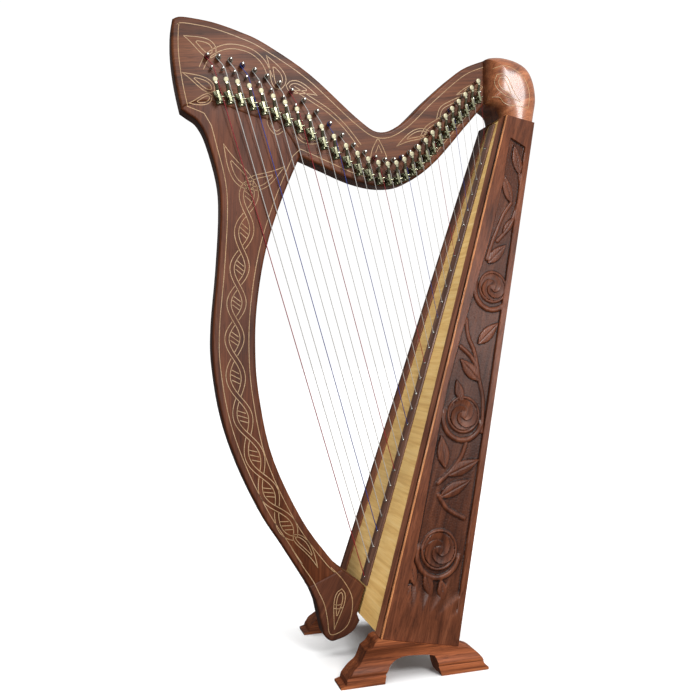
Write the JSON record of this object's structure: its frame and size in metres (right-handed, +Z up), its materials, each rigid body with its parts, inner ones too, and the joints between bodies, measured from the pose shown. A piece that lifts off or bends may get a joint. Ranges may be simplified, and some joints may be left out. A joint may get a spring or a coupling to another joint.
{
  "type": "lever harp",
  "caption": "Floor-standing lever harp: bowed pillar, swept neck with pins and flip levers, tapered carved soundbox, strings and two moulded feet.",
  "frame": {"origin": "on the floor, under the middle of the overall box", "axes": "+Z up; +X from the pillar to the soundbox; -Y is the side with the strings and levers"},
  "size_m": [0.6073, 0.256, 0.9915],
  "materials": {
    "rosewood": "red-brown rosewood, satin lacquer",
    "soundboard_wood": "golden quarter-sawn softwood, satin lacquer",
    "string_rib_wood": "dark brown hardwood",
    "inner_wood": "bare pale wood",
    "foot_wood": "orange-brown hardwood, satin lacquer",
    "steel": "plain steel",
    "lever_metal": "polished pale brass"
  },
  "bodies": {
    "frame": {"neck": "rosewood", "pillar": "rosewood", "pillar_foot_block": "rosewood", "pillar_bolt": "steel", "shoulder_block": "rosewood", "shoulder_screw_front": "steel", "shoulder_screw_back": "steel", "soundboard": "soundboard_wood", "string_rib_and_strings": "string_rib_wood", "inner_rib": "inner_wood", "side_panel_left": "rosewood", "side_panel_right": "rosewood", "soundboard_trim_left": "rosewood", "soundboard_trim_right": "rosewood", "lining_left": "inner_wood", "lining_right": "inner_wood", "back_panel": "rosewood", "bottom_board": "inner_wood", "base_block": "inner_wood", "top_block": "inner_wood", "cross_brace_low": "inner_wood", "cross_brace_middle": "inner_wood", "cross_brace_high": "inner_wood", "foot_left": "foot_wood", "foot_right": "foot_wood", "foot_screw_front_left": "steel", "foot_screw_back_left": "steel", "foot_screw_front_right": "steel", "foot_screw_back_right": "steel"},
    "lever_01": {"lever_handle_01": "lever_metal"},
    "lever_02": {"lever_handle_02": "lever_metal"},
    "lever_03": {"lever_handle_03": "lever_metal"},
    "lever_04": {"lever_handle_04": "lever_metal"},
    "lever_05": {"lever_handle_05": "lever_metal"},
    "lever_06": {"lever_handle_06": "lever_metal"},
    "lever_07": {"lever_handle_07": "lever_metal"},
    "lever_08": {"lever_handle_08": "lever_metal"},
    "lever_09": {"lever_handle_09": "lever_metal"},
    "lever_10": {"lever_handle_10": "lever_metal"},
    "lever_11": {"lever_handle_11": "lever_metal"},
    "lever_12": {"lever_handle_12": "lever_metal"},
    "lever_13": {"lever_handle_13": "lever_metal"},
    "lever_14": {"lever_handle_14": "lever_metal"},
    "lever_15": {"lever_handle_15": "lever_metal"},
    "lever_16": {"lever_handle_16": "lever_metal"},
    "lever_17": {"lever_handle_17": "lever_metal"},
    "lever_18": {"lever_handle_18": "lever_metal"},
    "lever_19": {"lever_handle_19": "lever_metal"},
    "lever_20": {"lever_handle_20": "lever_metal"},
    "lever_21": {"lever_handle_21": "lever_metal"},
    "lever_22": {"lever_handle_22": "lever_metal"},
    "lever_23": {"lever_handle_23": "lever_metal"},
    "lever_24": {"lever_handle_24": "lever_metal"},
    "lever_25": {"lever_handle_25": "lever_metal"},
    "lever_26": {"lever_handle_26": "lever_metal"},
    "lever_27": {"lever_handle_27": "lever_metal"},
    "lever_28": {"lever_handle_28": "lever_metal"},
    "lever_29": {"lever_handle_29": "lever_metal"}
  },
  "joints": [
    {"name": "lever_pivot_01", "type": "hinge", "parent": "frame", "child": "lever_01", "pos_m": [-0.22881, -0.03071, 0.87389], "axis": [0.9562, 0, 0.2927], "range_deg": [0, 110]},
    {"name": "lever_pivot_02", "type": "hinge", "parent": "frame", "child": "lever_02", "pos_m": [-0.21261, -0.03069, 0.87498], "axis": [0.9568, 0, 0.2908], "range_deg": [0, 110]},
    {"name": "lever_pivot_03", "type": "hinge", "parent": "frame", "child": "lever_03", "pos_m": [-0.19562, -0.03067, 0.8733], "axis": [0.9574, 0, 0.2889], "range_deg": [0, 110]},
    {"name": "lever_pivot_04", "type": "hinge", "parent": "frame", "child": "lever_04", "pos_m": [-0.17788, -0.03065, 0.86889], "axis": [0.9579, 0, 0.2869], "range_deg": [0, 110]},
    {"name": "lever_pivot_05", "type": "hinge", "parent": "frame", "child": "lever_05", "pos_m": [-0.15984, -0.03062, 0.86324], "axis": [0.9585, 0, 0.285], "range_deg": [0, 110]},
    {"name": "lever_pivot_06", "type": "hinge", "parent": "frame", "child": "lever_06", "pos_m": [-0.14157, -0.0306, 0.85653], "axis": [0.9591, 0, 0.2831], "range_deg": [0, 110]},
    {"name": "lever_pivot_07", "type": "hinge", "parent": "frame", "child": "lever_07", "pos_m": [-0.12312, -0.03058, 0.84891], "axis": [0.9597, 0, 0.2812], "range_deg": [0, 110]},
    {"name": "lever_pivot_08", "type": "hinge", "parent": "frame", "child": "lever_08", "pos_m": [-0.10441, -0.03056, 0.84012], "axis": [0.9602, 0, 0.2792], "range_deg": [0, 110]},
    {"name": "lever_pivot_09", "type": "hinge", "parent": "frame", "child": "lever_09", "pos_m": [-0.08532, -0.03054, 0.82967], "axis": [0.9608, 0, 0.2773], "range_deg": [0, 110]},
    {"name": "lever_pivot_10", "type": "hinge", "parent": "frame", "child": "lever_10", "pos_m": [-0.06562, -0.03052, 0.81676], "axis": [0.9613, 0, 0.2754], "range_deg": [0, 110]},
    {"name": "lever_pivot_11", "type": "hinge", "parent": "frame", "child": "lever_11", "pos_m": [-0.04574, -0.0305, 0.80282], "axis": [0.9619, 0, 0.2735], "range_deg": [0, 110]},
    {"name": "lever_pivot_12", "type": "hinge", "parent": "frame", "child": "lever_12", "pos_m": [-0.02627, -0.03047, 0.78989], "axis": [0.9624, 0, 0.2715], "range_deg": [0, 110]},
    {"name": "lever_pivot_13", "type": "hinge", "parent": "frame", "child": "lever_13", "pos_m": [-0.00752, -0.03045, 0.77916], "axis": [0.963, 0, 0.2696], "range_deg": [0, 110]},
    {"name": "lever_pivot_14", "type": "hinge", "parent": "frame", "child": "lever_14", "pos_m": [0.01029, -0.03043, 0.77143], "axis": [0.9635, 0, 0.2677], "range_deg": [0, 110]},
    {"name": "lever_pivot_15", "type": "hinge", "parent": "frame", "child": "lever_15", "pos_m": [0.02711, -0.03041, 0.76698], "axis": [0.964, 0, 0.2657], "range_deg": [0, 110]},
    {"name": "lever_pivot_16", "type": "hinge", "parent": "frame", "child": "lever_16", "pos_m": [0.04294, -0.03039, 0.76585], "axis": [0.9646, 0, 0.2638], "range_deg": [0, 110]},
    {"name": "lever_pivot_17", "type": "hinge", "parent": "frame", "child": "lever_17", "pos_m": [0.05768, -0.03037, 0.7685], "axis": [0.9651, 0, 0.2619], "range_deg": [0, 110]},
    {"name": "lever_pivot_18", "type": "hinge", "parent": "frame", "child": "lever_18", "pos_m": [0.07128, -0.03035, 0.77519], "axis": [0.9656, 0, 0.2599], "range_deg": [0, 110]},
    {"name": "lever_pivot_19", "type": "hinge", "parent": "frame", "child": "lever_19", "pos_m": [0.08414, -0.03033, 0.7846], "axis": [0.9662, 0, 0.258], "range_deg": [0, 110]},
    {"name": "lever_pivot_20", "type": "hinge", "parent": "frame", "child": "lever_20", "pos_m": [0.0965, -0.0303, 0.79578], "axis": [0.9667, 0, 0.256], "range_deg": [0, 110]},
    {"name": "lever_pivot_21", "type": "hinge", "parent": "frame", "child": "lever_21", "pos_m": [0.10854, -0.03028, 0.80813], "axis": [0.9672, 0, 0.2541], "range_deg": [0, 110]},
    {"name": "lever_pivot_22", "type": "hinge", "parent": "frame", "child": "lever_22", "pos_m": [0.1203, -0.03026, 0.82155], "axis": [0.9677, 0, 0.2522], "range_deg": [0, 110]},
    {"name": "lever_pivot_23", "type": "hinge", "parent": "frame", "child": "lever_23", "pos_m": [0.13182, -0.03024, 0.83586], "axis": [0.9682, 0, 0.2502], "range_deg": [0, 110]},
    {"name": "lever_pivot_24", "type": "hinge", "parent": "frame", "child": "lever_24", "pos_m": [0.1433, -0.03022, 0.85035], "axis": [0.9687, 0, 0.2483], "range_deg": [0, 110]},
    {"name": "lever_pivot_25", "type": "hinge", "parent": "frame", "child": "lever_25", "pos_m": [0.15505, -0.03007, 0.86377], "axis": [0.9692, 0, 0.2463], "range_deg": [0, 110]},
    {"name": "lever_pivot_26", "type": "hinge", "parent": "frame", "child": "lever_26", "pos_m": [0.16699, -0.02988, 0.87645], "axis": [0.9697, 0, 0.2444], "range_deg": [0, 110]},
    {"name": "lever_pivot_27", "type": "hinge", "parent": "frame", "child": "lever_27", "pos_m": [0.17899, -0.02964, 0.88883], "axis": [0.9702, 0, 0.2424], "range_deg": [0, 110]},
    {"name": "lever_pivot_28", "type": "hinge", "parent": "frame", "child": "lever_28", "pos_m": [0.19101, -0.02933, 0.90107], "axis": [0.9707, 0, 0.2405], "range_deg": [0, 110]},
    {"name": "lever_pivot_29", "type": "hinge", "parent": "frame", "child": "lever_29", "pos_m": [0.20302, -0.02892, 0.91332], "axis": [0.9711, 0, 0.2385], "range_deg": [0, 110]}
  ]
}
